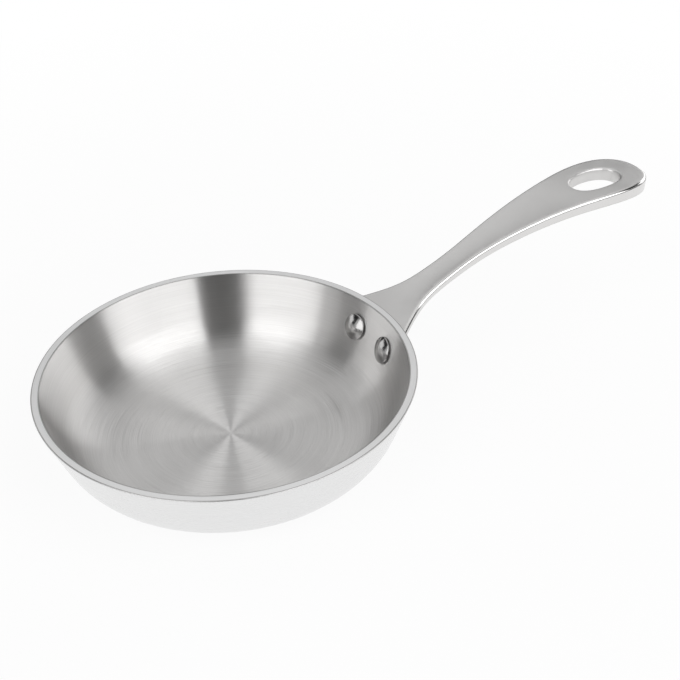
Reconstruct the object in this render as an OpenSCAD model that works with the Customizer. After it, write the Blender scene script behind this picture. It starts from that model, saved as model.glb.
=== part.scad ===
// Small clad omelette pan: three bonded metal layers and a cast handle held by two rivets.
// The origin is the middle of the base, the pan stands on z = 0 and the handle points along +X.

/* [Pan] */
// Outside diameter of the rim
rim_d = 121; // [105:1:150]
// Height of the rim above the base
pan_h = 26.2; // [23:0.2:34]
// Lean of the wall away from upright, in degrees
wall_lean = 21.6; // [14:0.2:28]
// Radius between base and wall, on the outside
corner_r = 19; // [10:0.5:22]

/* [Layers] */
// Thickness of the steel skin that faces the food
inner_skin_t = 0.4; // [0.3:0.05:0.8]
// Thickness of the aluminium core
core_t = 1.7; // [1:0.1:2.6]
// Thickness of the steel skin that faces the stove
outer_skin_t = 0.5; // [0.3:0.05:0.8]
// Radius of the broken edges of the rim
rim_edge_r = 0.3; // [0.1:0.05:0.6]

/* [Handle path] */
// Reach of the handle from the rim to its tip
handle_reach = 107; // [90:1:140]
// Gap from the rim's top down to the top of the handle's root
root_drop = 0.3; // [0.1:0.1:1.5]
// Angle at which the handle leaves the rim, in degrees
rise = 19.7; // [10:0.1:26]
// Length of the straight part before the handle bends over
straight_l = 31.7; // [20:0.1:45]
// Radius in which the handle bends over
bend_r = 155.5; // [130:0.5:220]

/* [Handle plan] */
// Width of the stem that the flare and the swell start from
stem_w = 8.9; // [7:0.1:14]
// Angle of each edge where the stem flares towards the pan, in degrees
flare_angle = 35.4; // [15:0.1:45]
// Length of the flare beyond the rim
flare_l = 10.1; // [5:0.1:16]
// Angle of each edge where the stem swells towards its end, in degrees
swell_angle = 8.4; // [4:0.1:12]
// Start of the swell beyond the rim
swell_start = 31.5; // [22:0.5:45]
// Length over which straight edges blend into each other
edge_blend = 7.2; // [3:0.1:12]
// Length over which the end is rounded off
tip_l = 32; // [18:1:45]
// Fullness of the rounded end, where 2 is an ellipse
tip_fullness = 2.4; // [2:0.1:3.5]

/* [Handle section] */
// Thickness of the handle at the rim
root_t = 2.1; // [1.6:0.1:4]
// Thickness of the handle at its tip
tip_t = 4.9; // [2.4:0.1:7]
// Radius of the polished edge round the top face
top_edge_r = 1; // [0.4:0.1:1.4]
// Radius of the edge round the underside
under_edge_r = 0.6; // [0.3:0.1:1]
// Depth of the dished top face
dish = 0.45; // [0:0.05:0.8]

/* [Hanging hole] */
// Length of the hole, along the handle
hole_l = 19.4; // [12:0.2:24]
// Width of the hole
hole_w = 11.8; // [7:0.2:14]
// Distance from the tip back to the middle of the hole
hole_back = 19.6; // [15:0.2:30]
// Radius of the hole's rounded upper edge
hole_edge_r = 0.9; // [0.3:0.1:1.4]

/* [Flange and rivets] */
// Thickness of the flange that lies on the wall
flange_t = 2.2; // [1.6:0.1:4]
// Margin of the flange round each rivet's middle
flange_margin = 6; // [5.5:0.1:9]
// Thickness of the web between the flange and the stem
web_t = 5; // [3:0.5:7]
// Radius of the web's hollow edge
web_r = 22; // [12:1:26]
// Distance between the rivets
rivet_pitch = 17.4; // [13.4:0.2:22]
// Depth of the rivets below the rim
rivet_drop = 9.5; // [6.5:0.1:12]
// Diameter of a rivet's shank
rivet_d = 4.8; // [3:0.1:6]
// Play of the shank in its holes, all round
rivet_play = 0.05; // [0.02:0.01:0.3]
// Diameter of the button head inside the pan
head_d = 8.8; // [7:0.1:11]
// Height of the button head
head_h = 2.1; // [1.6:0.1:3]
// Diameter of the closed head outside
closed_d = 7; // [5.8:0.1:9]
// Height of the closed head
closed_h = 1.1; // [0.8:0.1:1.6]
// Radius of the round edge of both heads
head_edge_r = 0.5; // [0.2:0.05:1]
// Rise of the button head's crown
head_crown = 1.3; // [0.2:0.05:1.4]
// Rise of the closed head's crown
closed_crown = 0.25; // [0.1:0.05:0.4]

/* [Hidden] */
$fn = 128;
rim_r = rim_d / 2;
wall_t = inner_skin_t + core_t + outer_skin_t;
// The bottom corner's centre, for a wall that runs straight from the corner to the rim
wall_run = (pan_h - corner_r * (1 - sin(wall_lean))) / cos(wall_lean);
corner_x = rim_r - wall_run * sin(wall_lean) - corner_r * cos(wall_lean);
// Room that a cutting shape reaches past what it cuts
over = 5;
bore_l = 2 * (wall_t + flange_t + over);
// Share of a skin's cut edge that its round may take up at most
round_share = 0.9;
// Stations along the handle, measured from the pan's axis
tip_s = rim_r + handle_reach;
bend_s = rim_r + straight_l;
tip_start_s = tip_s - tip_l;
hole_s = tip_s - hole_back;
// The handle's casting starts this far inside the rim, where the pan's outside then cuts it
root_inset = 9;
root_s = rim_r - root_inset;
straight_rings = 34;
tip_rings = 16;
// The last ring stands at this angle of the tip's quarter turn, just short of the end
last_tip_angle = 87;
dish_columns = 8;
edge_steps = 5;
corner_steps = 18;
under_steps = 3;
hole_points = 64;
// Shares of the handle's thickness that its upper and its lower round edge may take up
top_share = 0.5;
under_share = 0.3;
// Step along the handle over which the direction of its edge is measured
edge_probe = 0.05;
// Half width that the last ring keeps at least, so that the casting ends in a face
least_y = 0.05;
// Depth that the web reaches into the flange and the stem
sink = 0.2;
// The dish fades in and out over this length, clear of the root and of the hole
dish_fade = 14;
hole_fullness = 2.27;
// Place and turn of a rivet on the wall
rivet_z = pan_h - rivet_drop;
rivet_wall_r = rim_r - rivet_drop * tan(wall_lean);
rivet_turn = asin(rivet_pitch / 2 / rivet_wall_r);

// Points of an arc round c, between two angles
function arc(c, r, from, to, steps) =
  [for (i = [0:steps]) let (a = from + (to - from) * i / steps) c + r * [cos(a), sin(a)]];

// Distance of the wall from the axis at height z, at a depth below the pan's outside
function wall_x(depth, z) = rim_r - depth / cos(wall_lean) - (pan_h - z) * tan(wall_lean);

// Points from the axis along the base and round the corner, at a depth below the pan's outside
function base_path(depth) = concat(
  [[0, depth]],
  arc([corner_x, corner_r], corner_r - depth, -90, -wall_lean, corner_steps)
);

// Tangent of half the angle of the rim's outer edge (side 1) or inner edge (side -1)
function half_edge(side) = tan((90 - side * wall_lean) / 2);

// Radius of the round on that edge of a skin, as far as the skin's thickness leaves room
function edge_round(side, thick) = min(rim_edge_r, round_share * thick / cos(wall_lean) * half_edge(side));

// Points from the wall to the flat rim, round the edge on that side
function rim_path(depth, side, r) = let (
    centre = [wall_x(depth, pan_h) - side * r / half_edge(side), pan_h - r],
    from = side > 0 ? -wall_lean : 180 - wall_lean
  ) r > 0 ? arc(centre, r, from, 90, edge_steps) : [centre];

// The pan as a solid, filled up to a level, with its outside moved inwards by a depth
module filled_pan(depth, top) {
  rotate_extrude() polygon(concat(base_path(depth), [[wall_x(depth, top), top], [0, top]]));
}

// One layer of the pan: its outside at a depth, its thickness and the rounds of its rim's two edges
module layer(depth, thick, outer_r, inner_r) {
  up = concat(base_path(depth), rim_path(depth, 1, outer_r));
  down = concat(base_path(depth + thick), rim_path(depth + thick, -1, inner_r));
  difference() {
    rotate_extrude() polygon(concat(up, [for (i = [len(down) - 1:-1:0]) down[i]]));
    rivet_bores();
  }
}

// Bores for both rivets, through whatever they pass
module rivet_bores() {
  for (side = [-1, 1]) on_wall(side) cylinder(h = bore_l, d = rivet_d + 2 * rivet_play, center = true);
}

// Moves a shape to a rivet's place, with +Z pointing out of the wall
module on_wall(side) {
  rotate([0, 0, side * rivet_turn])
    translate([rivet_wall_r, 0, rivet_z])
      rotate([0, 90 + wall_lean, 0])
        children();
}

module inner_steel_skin() {
  color("gainsboro") layer(outer_skin_t + core_t, inner_skin_t, 0, edge_round(-1, inner_skin_t));
}

module aluminium_core() {
  color("darkgray") layer(outer_skin_t, core_t, 0, 0);
}

module outer_steel_skin() {
  color("silver") layer(0, outer_skin_t, edge_round(1, outer_skin_t), 0);
}

// Slope of the handle at station s, in degrees: a straight rise, then one arc
function slope_at(s) = s < bend_s ? rise : asin(sin(rise) - (s - bend_s) / bend_r);

// Height of the handle's top at station s
function height_at(s) = pan_h - root_drop + tan(rise) * (min(s, bend_s) - rim_r)
  + bend_r * (cos(slope_at(s)) - cos(rise));

// A slope of 1 that sets in softly at zero
function ramp(x) = (x + sqrt(x * x + edge_blend * edge_blend)) / 2;

// Half width of the handle before its end is rounded off
function side_at(s) = stem_w / 2 + tan(flare_angle) * ramp(rim_r + flare_l - s)
  + tan(swell_angle) * ramp(s - rim_r - swell_start);

// Half width of the handle with its rounded end
function half_width(s) = side_at(s) *
  pow(1 - pow(min(1, max(0, s - tip_start_s) / tip_l), tip_fullness), 1 / tip_fullness);

// Thickness of the handle at station s
function thick_at(s) = root_t + (tip_t - root_t) * (s - rim_r) / handle_reach;

// Stations of the casting's rings, closer together towards the tip
stations = [
  for (i = [0:straight_rings]) root_s + (tip_start_s - root_s) * i / straight_rings,
  for (i = [1:tip_rings]) tip_start_s + tip_l * sin(last_tip_angle * i / tip_rings)
];

// Point at station s, y aside and a depth below the top face, square to the slope
function on_handle(s, y, depth) =
  [s + depth * sin(slope_at(s)), y, height_at(s) - depth * cos(slope_at(s))];

// Point on the handle's edge, moved in from the plan outline by inset
function edge_point(s, side, inset, depth) =
  let (
    lean = (half_width(s) - half_width(s - edge_probe)) / edge_probe,
    square = sqrt(1 + lean * lean),
    y = max(least_y, half_width(s) - inset / square)
  )
  on_handle(s + inset * lean / square, side * y, depth);

// Point on the round upper edge, from the top face (part 0) to the side (part 1)
function top_round(s, side, part) = let (
    a = 90 * part,
    r = min(top_edge_r, top_share * thick_at(s))
  ) edge_point(s, side, r * (1 - sin(a)), r * (1 - cos(a)));

// Point on the round lower edge, from the side (part 0) to the underside (part 1)
function under_round(s, side, part) = let (
    a = 90 * part,
    r = min(under_edge_r, under_share * thick_at(s))
  ) edge_point(s, side, r * (1 - cos(a)), thick_at(s) - r * (1 - sin(a)));

// Share of the dish at station s, from 0 to 1
function dish_share(s) = let (
    from_root = (s - rim_r) / dish_fade,
    from_hole = (hole_s - hole_l / 2 - s) / dish_fade,
    x = max(0, min(1, from_root, from_hole))
  ) x * x * (3 - 2 * x);

// One closed ring round the handle: dished top, rounded edges, flat underside
function ring(s) = let (
    t = thick_at(s),
    top_left = top_round(s, 1, 0),
    top_right = top_round(s, -1, 0)
  ) concat(
    [for (i = [0:dish_columns]) let (x = 2 * i / dish_columns - 1)
      top_left + (top_right - top_left) * i / dish_columns
        - [0, 0, dish * dish_share(s) * (1 - x * x)]],
    [for (i = [1:edge_steps]) top_round(s, -1, i / edge_steps)],
    [for (i = [0:under_steps]) under_round(s, -1, i / under_steps)],
    [for (i = [under_steps:-1:0]) under_round(s, 1, i / under_steps)],
    [for (i = [edge_steps:-1:1]) top_round(s, 1, i / edge_steps)]
  );

// Middle of a ring's points
function middle_of(ring) = [for (k = [0:2]) let (v = [for (p = ring) p[k]]) v * [for (x = v) 1] / len(v)];

// Solid through a list of rings that have equally many points, closed by a fan at each end
module loft(rings) {
  n = len(rings[0]);
  last = len(rings) - 1;
  first_middle = n * (last + 1);
  polyhedron(
    points = concat([for (r = rings) each r], [middle_of(rings[0]), middle_of(rings[last])]),
    faces = concat(
      [for (i = [0:n - 1]) [first_middle, i, (i + 1) % n]],
      [for (k = [0:last - 1], i = [0:n - 1]) let (j = (i + 1) % n)
        each [[k * n + i, (k + 1) * n + i, (k + 1) * n + j], [k * n + i, (k + 1) * n + j, k * n + j]]],
      [for (i = [0:n - 1]) [first_middle + 1, last * n + (i + 1) % n, last * n + i]]
    )
  );
}

// Ring of the hanging hole's outline, widened by grow, at a depth below the top face
function hole_ring(grow, depth) = [for (i = [0:hole_points - 1]) let (
    a = 360 * i / hole_points,
    power = 2 / hole_fullness,
    s = hole_s + (hole_l / 2 + grow) * sign(cos(a)) * pow(abs(cos(a)), power),
    y = (hole_w / 2 + grow) * sign(sin(a)) * pow(abs(sin(a)), power)
  ) on_handle(s, y, depth)];

// The hanging hole with its rounded upper edge
module hanging_hole() {
  loft(concat(
    [hole_ring(0, tip_t + over)],
    [for (i = [edge_steps:-1:0]) let (a = 90 * i / edge_steps)
      hole_ring(hole_edge_r * (1 - sin(a)), hole_edge_r * (1 - cos(a)))],
    [hole_ring(hole_edge_r, -over)]
  ));
}

// Outline of the flange, seen from the handle's end
module flange_outline() {
  for (side = [-1, 1]) translate([side * rivet_pitch / 2, rivet_z]) circle(r = flange_margin);
  translate([-rivet_pitch / 2, rivet_z - flange_margin]) square([rivet_pitch, 2 * flange_margin]);
}

// The flange, bent to the pan's outside
module flange() {
  intersection() {
    filled_pan(-flange_t, pan_h + over);
    rotate([90, 0, 90]) linear_extrude(rim_d) flange_outline();
  }
}

// Web in the corner under the root, with a hollow edge that runs out on flange and stem
module web() {
  down = [-sin(wall_lean), -cos(wall_lean)];
  along = [cos(rise), sin(rise)];
  on_flange = [rim_r + (flange_t - sink) / cos(wall_lean), pan_h];
  root = on_handle(rim_r, 0, root_t - sink);
  on_stem = [root[0], root[2]];
  corner = on_flange + down * cross(on_stem - on_flange, along) / cross(down, along);
  half_open = (90 + wall_lean + rise) / 2;
  run = web_r / tan(half_open);
  middle = down + along;
  centre = corner + middle / norm(middle) * web_r / sin(half_open);
  rotate([90, 0, 0]) translate([0, 0, -web_t / 2]) linear_extrude(web_t) difference() {
    polygon([corner, corner + run * down, centre, corner + run * along]);
    translate(centre) circle(r = web_r);
  }
}

module handle() {
  color("lightgray") difference() {
    union() {
      loft([for (s = stations) ring(s)]);
      flange();
      web();
    }
    filled_pan(0, pan_h + over);
    hanging_hole();
    rivet_bores();
  }
}

// Button of height h over z = 0, with a stem below that the surface it stands on cuts off.
// Its crown is part of a ball and runs smoothly into the round edge.
module button(d, h, crown) {
  edge = min(head_edge_r, (h - crown) / 2);
  crown_r = (d * d / 4 + crown * crown) / (2 * crown);
  crown_z = h - crown_r;
  edge_x = d / 2 - edge;
  edge_z = crown_z + sqrt(pow(crown_r - edge, 2) - edge_x * edge_x);
  rotate_extrude() {
    translate([0, -over]) square([d / 2, over + edge_z]);
    translate([edge_x, edge_z]) intersection() {
      circle(r = edge);
      square(edge);
    }
    intersection() {
      translate([0, crown_z]) circle(r = crown_r);
      translate([0, -over]) square([edge_x * crown_r / (crown_r - edge), over + h]);
    }
  }
}

// A rivet: button head on the inner skin, shank through wall and flange, closed head on the flange
module rivet(side) {
  color("whitesmoke") {
    on_wall(side) translate([0, 0, -wall_t - sink]) cylinder(h = wall_t + flange_t + 2 * sink, d = rivet_d);
    intersection() {
      on_wall(side) translate([0, 0, -wall_t]) rotate([180, 0, 0]) button(head_d, head_h, head_crown);
      filled_pan(wall_t, pan_h + over);
    }
    difference() {
      on_wall(side) translate([0, 0, flange_t]) button(closed_d, closed_h, closed_crown);
      filled_pan(-flange_t, pan_h + over);
    }
  }
}

module rivet_left() {
  rivet(1);
}

module rivet_right() {
  rivet(-1);
}

inner_steel_skin();
aluminium_core();
outer_steel_skin();
handle();
rivet_left();
rivet_right();
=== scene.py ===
# %% [markdown]
# This lesson models a small clad omelette pan. The real one is one bonded sheet of steel, aluminium and
# steel, pressed to a shallow bowl, with a cast handle held by two rivets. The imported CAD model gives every
# place and size. Its own meshes could be shown, but their edges look faceted close up, so each piece gets a
# finer mesh, made from the same few sizes, and then its metal. Bare metal shows little but what it
# reflects, so the light round the pan gets as much care as the pan itself.

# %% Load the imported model
import math

import bmesh
import bpy
import numpy as np
from mathutils import Matrix, Vector
from mathutils.geometry import delaunay_2d_cdt


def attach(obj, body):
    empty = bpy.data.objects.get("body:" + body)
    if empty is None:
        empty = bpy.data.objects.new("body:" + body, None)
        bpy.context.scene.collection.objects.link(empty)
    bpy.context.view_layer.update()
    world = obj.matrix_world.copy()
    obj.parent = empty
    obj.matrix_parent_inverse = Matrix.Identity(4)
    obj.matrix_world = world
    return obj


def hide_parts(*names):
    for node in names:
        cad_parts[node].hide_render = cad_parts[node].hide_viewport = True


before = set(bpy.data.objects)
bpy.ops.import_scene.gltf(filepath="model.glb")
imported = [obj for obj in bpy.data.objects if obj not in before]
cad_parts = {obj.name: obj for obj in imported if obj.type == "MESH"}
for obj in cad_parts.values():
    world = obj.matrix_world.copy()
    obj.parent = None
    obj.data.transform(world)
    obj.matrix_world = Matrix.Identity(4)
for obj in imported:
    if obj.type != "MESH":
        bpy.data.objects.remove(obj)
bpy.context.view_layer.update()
print("nodes:", sorted(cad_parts))

# %% [markdown]
# Every length is in metres. The few sizes below drive the whole pan: the outside of the wall is one
# straight lean that runs tangentially into one round corner, and each metal layer is that outside moved
# inwards. The finer outline of the handle would reach a hair beyond the CAD model's box, so its tip is
# trimmed, and the hanging hole stays where it is. In the names R is a radius, D a diameter, L, W, H and T a
# length, width, height and thickness, and S a place along the handle, counted from the pan's axis.

# %% Sizes of the pan
MM = 0.001
RIM_R = 60.5 * MM
PAN_H = 26.2 * MM
WALL_LEAN = math.radians(21.6)
CORNER_R = 19 * MM
INNER_SKIN_T = 0.4 * MM
CORE_T = 1.7 * MM
OUTER_SKIN_T = 0.5 * MM
WALL_T = INNER_SKIN_T + CORE_T + OUTER_SKIN_T
RIM_EDGE_R = 0.3 * MM
WALL_RUN = (PAN_H - CORNER_R * (1 - math.sin(WALL_LEAN))) / math.cos(WALL_LEAN)
CORNER_X = RIM_R - WALL_RUN * math.sin(WALL_LEAN) - CORNER_R * math.cos(WALL_LEAN)
print("the flat base is", round(2 * CORNER_X / MM, 1), "mm across")

# %% Sizes of the handle
REACH = 107 * MM
ROOT_DROP = 0.3 * MM
RISE = math.radians(19.7)
STRAIGHT_L = 31.7 * MM
BEND_R = 155.5 * MM
STEM_W = 8.9 * MM
FLARE_ANGLE = math.radians(35.4)
FLARE_L = 10.1 * MM
SWELL_ANGLE = math.radians(8.4)
SWELL_START = 31.5 * MM
EDGE_BLEND = 7.2 * MM
TIP_L = 32 * MM
TIP_FULLNESS = 2.4
ROOT_T = 2.1 * MM
TIP_T = 4.9 * MM
TOP_EDGE_R = 1 * MM
UNDER_EDGE_R = 0.6 * MM
DISH = 0.45 * MM
DISH_FADE = 14 * MM
TIP_TRIM = 0.06 * MM
ROOT_INSIDE = 9 * MM
TIP_S = RIM_R + REACH - TIP_TRIM
BEND_S = RIM_R + STRAIGHT_L
TIP_START_S = TIP_S - TIP_L
ROOT_S = RIM_R - ROOT_INSIDE
print("the handle's end is", round(TIP_S / MM, 1), "mm from the middle of the pan")

# %% Sizes of the hanging hole
HOLE_L = 19.4 * MM
HOLE_W = 11.8 * MM
HOLE_BACK = 19.6 * MM - TIP_TRIM
HOLE_EDGE_R = 0.9 * MM
HOLE_FULLNESS = 2.27
HOLE_S = TIP_S - HOLE_BACK

# %% Sizes of the flange and the rivets
FLANGE_T = 2.2 * MM
FLANGE_MARGIN = 6 * MM
WEB_T = 5 * MM
WEB_R = 22 * MM
RIVET_PITCH = 17.4 * MM
RIVET_DROP = 9.5 * MM
RIVET_D = 4.8 * MM
RIVET_PLAY = 0.05 * MM
HEAD_D = 8.8 * MM
HEAD_H = 2.1 * MM
HEAD_CROWN = 1.3 * MM
CLOSED_D = 7 * MM
CLOSED_H = 1.1 * MM
CLOSED_CROWN = 0.25 * MM
HEAD_EDGE_R = 0.5 * MM
RIVET_Z = PAN_H - RIVET_DROP
RIVET_WALL_R = RIM_R - RIVET_DROP * math.tan(WALL_LEAN)
RIVET_TURN = math.asin(RIVET_PITCH / 2 / RIVET_WALL_R)
print("each rivet stands", round(math.degrees(RIVET_TURN), 2), "degrees beside the handle")

# %% [markdown]
# The photograph looks down at the pan from its side with a long lens. Place, direction, roll and lens were
# solved from the ellipse of the rim and the run of the handle. The image is square and the lens isn't
# shifted.

# %% Camera
IMAGE_SIZE = 680
FOCAL_PIXELS = 1528
SENSOR_MM = 36
CAMERA_AT = Vector((-164.67, -350.62, 307.98)) * MM
CAMERA_NEAR = 10 * MM
LOOK_AZIMUTH = math.radians(59.43)
LOOK_DOWN = math.radians(35.12)
ROLL = math.radians(-3.008)
QUARTER = math.pi / 2

camera_data = bpy.data.cameras.new("camera")
camera_data.sensor_width = SENSOR_MM
camera_data.lens = FOCAL_PIXELS / IMAGE_SIZE * SENSOR_MM
camera_data.clip_start = CAMERA_NEAR
camera = bpy.data.objects.new("camera", camera_data)
bpy.context.scene.collection.objects.link(camera)
turn = Matrix.Rotation(LOOK_AZIMUTH - QUARTER, 4, "Z")
tilt = Matrix.Rotation(QUARTER - LOOK_DOWN, 4, "X")
roll = Matrix.Rotation(ROLL, 4, "Z")
camera.matrix_world = Matrix.Translation(CAMERA_AT) @ turn @ tilt @ roll
bpy.context.scene.camera = camera
print("lens:", round(camera_data.lens, 1), "mm")

# %% [markdown]
# A node tree is easier to read when a calculation stands on one line. The first helpers add one node and
# give back its result, and the others run a finished tree or a boolean on a piece. A modifier's input is
# set by its socket's identifier. The result replaces the mesh, so that no modifier is left on the piece.

# %% Helpers for node trees
def connect(tree, source, target):
    if isinstance(source, bpy.types.NodeSocket):
        tree.links.new(source, target)
    else:
        target.default_value = source


def fill_inputs(tree, node, inputs):
    for name, value in inputs.items():
        connect(tree, value, node.inputs[name])


def add_node(tree, kind, inputs=None, **settings):
    node = tree.nodes.new(kind)
    for name, value in settings.items():
        setattr(node, name, value)
    fill_inputs(tree, node, inputs or {})
    return node


def calculate(tree, operation, *values):
    return add_node(tree, "ShaderNodeMath", dict(enumerate(values)), operation=operation).outputs[0]


def ramp_between(tree, value, start, end, low, high, **settings):
    node = add_node(tree, "ShaderNodeMapRange", {
        "Value": value, "From Min": start, "From Max": end, "To Min": low, "To Max": high}, **settings)
    return node.outputs["Result"]


# %% Helpers for Geometry Nodes
def new_geometry_tree(name, sockets):
    tree = bpy.data.node_groups.new(name, "GeometryNodeTree")
    tree.interface.new_socket("Geometry", in_out="INPUT", socket_type="NodeSocketGeometry")
    for label, kind in sockets.items():
        tree.interface.new_socket(label, in_out="INPUT", socket_type=kind)
    tree.interface.new_socket("Geometry", in_out="OUTPUT", socket_type="NodeSocketGeometry")
    given = tree.nodes.new("NodeGroupInput").outputs
    return tree, given, tree.nodes.new("NodeGroupOutput").inputs


def finish_tree(tree, geometry, result, metal, selection=True):
    real = add_node(tree, "GeometryNodeRealizeInstances", {"Geometry": geometry})
    dressed = add_node(tree, "GeometryNodeSetMaterial", {
        "Geometry": real.outputs[0], "Selection": selection, "Material": metal})
    connect(tree, dressed.outputs[0], result["Geometry"])
    return tree


def own_position(tree):
    return tree.nodes.new("GeometryNodeInputPosition").outputs[0]


def axes_of(tree, vector):
    return add_node(tree, "ShaderNodeSeparateXYZ", {"Vector": vector}).outputs


def point_at(tree, x, y, z):
    return add_node(tree, "ShaderNodeCombineXYZ", {"X": x, "Y": y, "Z": z}).outputs[0]


# %% Helpers for pieces
def new_object(name, mesh):
    piece = bpy.data.objects.new(name, mesh)
    bpy.context.scene.collection.objects.link(piece)
    return piece


def object_from(shape, name, *materials):
    mesh = bpy.data.meshes.new(name)
    shape.to_mesh(mesh)
    shape.free()
    for material in materials:
        mesh.materials.append(material)
    return new_object(name, mesh)


def settle(piece):
    depsgraph = bpy.context.evaluated_depsgraph_get()
    result = bpy.data.meshes.new_from_object(piece.evaluated_get(depsgraph), depsgraph=depsgraph)
    piece.modifiers.clear()
    piece.data = result
    return piece


def run_tree(piece, tree, values):
    modifier = piece.modifiers.new(tree.name, "NODES")
    modifier.node_group = tree
    for item in tree.interface.items_tree:
        if item.in_out == "INPUT" and item.name in values:
            modifier[item.identifier] = values[item.name]
    return settle(piece)


def combine(piece, tool, operation):
    modifier = piece.modifiers.new(operation, "BOOLEAN")
    modifier.operation = operation
    modifier.solver = "MANIFOLD"
    modifier.object = tool
    settle(piece)
    bpy.data.objects.remove(tool)


# %% Helpers for surfaces
SHARP_ANGLE = math.radians(32)


def point_outwards(mesh):
    shape = bmesh.new()
    shape.from_mesh(mesh)
    bmesh.ops.recalc_face_normals(shape, faces=shape.faces)
    shape.to_mesh(mesh)
    shape.free()


def smooth(mesh):
    mesh.shade_smooth()
    mesh.set_sharp_from_angle(angle=SHARP_ANGLE)


def wear_only(piece, metal):
    mesh = piece.data
    mesh.materials.clear()
    mesh.materials.append(metal)
    mesh.polygons.foreach_set("material_index", [0] * len(mesh.polygons))


# %% [markdown]
# The pan's layers and the rivets are all turned shapes. A profile, drawn as a string of points from the
# axis back to the axis, is turned into a surface. Spin in mesh code would do it too, but a tree that lays a
# grid over the angle and the profile takes the steps round and the metal as named inputs, counts the points
# of the profile itself, and merges what meets at the poles.

# %% The turning tree
POLE_GAP = 0.001 * MM


def turned_point(tree, profile, across):
    angle = calculate(tree, "MULTIPLY", calculate(tree, "ADD", across, 0.5), math.tau)
    radius, _, height = axes_of(tree, profile)
    x = calculate(tree, "MULTIPLY", radius, calculate(tree, "COSINE", angle))
    y = calculate(tree, "MULTIPLY", radius, calculate(tree, "SINE", angle))
    return point_at(tree, x, y, height)


def build_turning_tree():
    tree, given, result = new_geometry_tree(
        "turn on the lathe", {"Steps round": "NodeSocketInt", "Metal": "NodeSocketMaterial"})
    size = add_node(tree, "GeometryNodeAttributeDomainSize", {"Geometry": given["Geometry"]})
    count = size.outputs["Point Count"]
    grid = add_node(tree, "GeometryNodeMeshGrid", {
        "Size X": 1, "Size Y": 1, "Vertices Y": count,
        "Vertices X": calculate(tree, "ADD", given["Steps round"], 1)})
    across, along, _ = axes_of(tree, own_position(tree))
    share = calculate(tree, "ADD", along, 0.5)
    last = calculate(tree, "SUBTRACT", count, 1)
    row = calculate(tree, "ROUND", calculate(tree, "MULTIPLY", share, last))
    profile = add_node(tree, "GeometryNodeSampleIndex", {
        "Geometry": given["Geometry"], "Value": own_position(tree), "Index": row}, data_type="FLOAT_VECTOR")
    moved = add_node(tree, "GeometryNodeSetPosition", {
        "Geometry": grid.outputs["Mesh"], "Position": turned_point(tree, profile.outputs[0], across)})
    merged = add_node(tree, "GeometryNodeMergeByDistance", {
        "Geometry": moved.outputs[0], "Distance": POLE_GAP})
    return finish_tree(tree, merged.outputs[0], result, given["Metal"])


turning_tree = build_turning_tree()
print("inputs:", [item.name for item in turning_tree.interface.items_tree if item.in_out == "INPUT"])


# %% Profiles and turned pieces
def arc(centre, radius, start, end, steps):
    angles = [start + (end - start) * i / steps for i in range(steps + 1)]
    return [(centre[0] + radius * math.cos(a), centre[1] + radius * math.sin(a)) for a in angles]


def finely(path, step):
    fine = [path[0]]
    for (x0, y0), (x1, y1) in zip(path, path[1:]):
        parts = max(1, math.ceil(math.hypot(x1 - x0, y1 - y0) / step))
        shares = [i / parts for i in range(1, parts + 1)]
        fine += [(x0 + (x1 - x0) * share, y0 + (y1 - y0) * share) for share in shares]
    return fine


def turned_piece(name, path, steps, metal):
    mesh = bpy.data.meshes.new(name)
    points = [(r, 0, z) for r, z in path]
    mesh.from_pydata(points, [(i, i + 1) for i in range(len(points) - 1)], [])
    piece = run_tree(new_object(name, mesh), turning_tree, {"Steps round": steps, "Metal": metal})
    wear_only(piece, metal)
    point_outwards(piece.data)
    smooth(piece.data)
    return piece


# %% [markdown]
# Most of the metals here were brushed, turned or filed while the pan went round, so their grain follows
# circles about its axis. One noise serves them all: it is stretched along the circle and packed close
# across it. A grain in circles is given by two counts. The first says how many marks lie side by side on a
# metre, so that the grain keeps its size on the real pan. The second says how many follow each other on one
# radian of the turn. An even grain has one count, on a metre.

# %% Helpers for metals
NOISE_DETAIL, NOISE_ROUGHNESS = 2, 0.6
NOISE_MARGIN = 0.3
STEEL_WARMTH = 0.01


def tone(grey, warmth=STEEL_WARMTH):
    return (grey, grey * (1 - warmth), grey * (1 - 2 * warmth), 1)


def new_metal(name):
    material = bpy.data.materials.new(name)
    material.use_nodes = True
    shader = material.node_tree.nodes["Principled BSDF"]
    shader.inputs["Metallic"].default_value = 1
    return material, material.node_tree, shader


def empty_material(name):
    material, tree, shader = new_metal(name)
    tree.nodes.remove(shader)
    return material, tree, tree.nodes["Material Output"].inputs["Surface"]


def own_place(tree):
    return tree.nodes.new("ShaderNodeTexCoord").outputs["Object"]


def height_above_table(tree):
    return axes_of(tree, own_place(tree))["Z"]


def from_axis(tree, x, y):
    return calculate(tree, "SQRT", calculate(
        tree, "ADD", calculate(tree, "MULTIPLY", x, x), calculate(tree, "MULTIPLY", y, y)))


# %% Grain and what it varies
def grain(tree, inputs, **settings):
    return add_node(tree, "ShaderNodeTexNoise", {
        "Scale": 1, "Detail": NOISE_DETAIL, "Roughness": NOISE_ROUGHNESS, **inputs}, **settings).outputs[0]


def even_grain(tree, count):
    return grain(tree, {"Vector": own_place(tree), "Scale": count})


def circle_grain(tree, across, along):
    x, y, z = axes_of(tree, own_place(tree))
    radius = calculate(tree, "MAXIMUM", from_axis(tree, x, y), POLE_GAP)
    round_x, round_y = (
        calculate(tree, "MULTIPLY", calculate(tree, "DIVIDE", side, radius), along) for side in (x, y))
    out, up = (calculate(tree, "MULTIPLY", length, across) for length in (radius, z))
    return grain(tree, {"Vector": point_at(tree, out, up, round_x), "W": round_y}, noise_dimensions="4D")


def vary(tree, noise, low, high, margin=NOISE_MARGIN):
    return ramp_between(tree, noise, margin, 1 - margin, low, high)


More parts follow.
